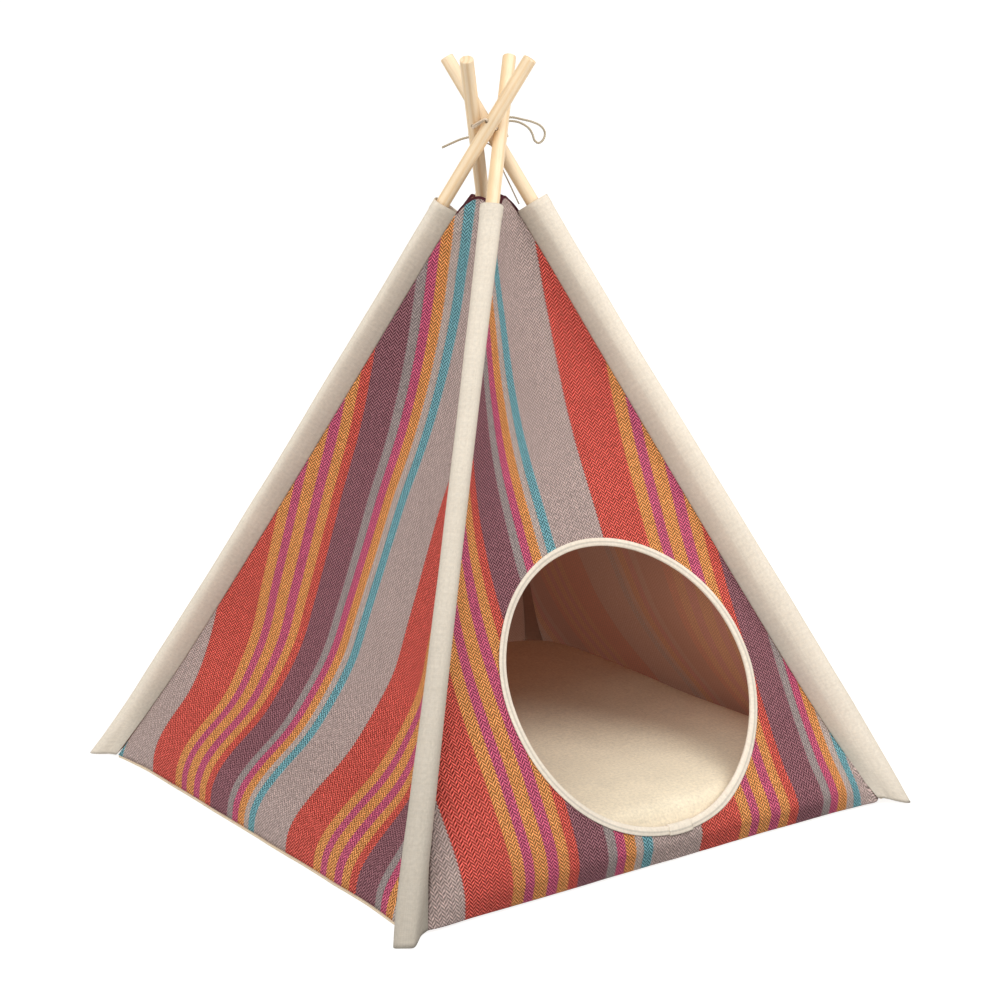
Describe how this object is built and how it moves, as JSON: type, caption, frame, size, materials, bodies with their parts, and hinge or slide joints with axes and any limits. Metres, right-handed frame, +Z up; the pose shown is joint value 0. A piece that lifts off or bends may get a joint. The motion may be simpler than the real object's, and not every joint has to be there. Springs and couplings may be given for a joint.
{
  "type": "cat teepee",
  "caption": "Square cat teepee of striped cloth walls hung between sleeved wooden poles, with a round bound door, a canvas floor and a filled pad to lie on.",
  "frame": {"origin": "on the floor under the middle of the base, at the underside of the floor sheet", "axes": "+Z up, -Y the side with the door, +X to the right of someone facing the door"},
  "size_m": [0.6362, 0.6471, 0.7617],
  "materials": {
    "pole_wood": "bare sanded pale softwood",
    "canvas": "unbleached cotton canvas",
    "striped_cloth": "yarn-dyed striped cotton in a herringbone twill",
    "pad_cover": "brushed cotton canvas",
    "twine": "twisted cotton twine"
  },
  "bodies": {
    "root": {"pole_front_left": "pole_wood", "pole_front_right": "pole_wood", "pole_back_right": "pole_wood", "pole_back_left": "pole_wood", "sleeve_front_left": "canvas", "sleeve_front_right": "canvas", "sleeve_back_right": "canvas", "sleeve_back_left": "canvas", "wall_front": "striped_cloth", "wall_right": "striped_cloth", "wall_back": "striped_cloth", "wall_left": "striped_cloth", "door_binding": "canvas", "floor_sheet": "canvas", "pad": "pad_cover", "tie_ring": "twine", "tie_tail": "twine", "tie_hanger": "twine", "tie_loop": "twine"}
  },
  "joints": []
}
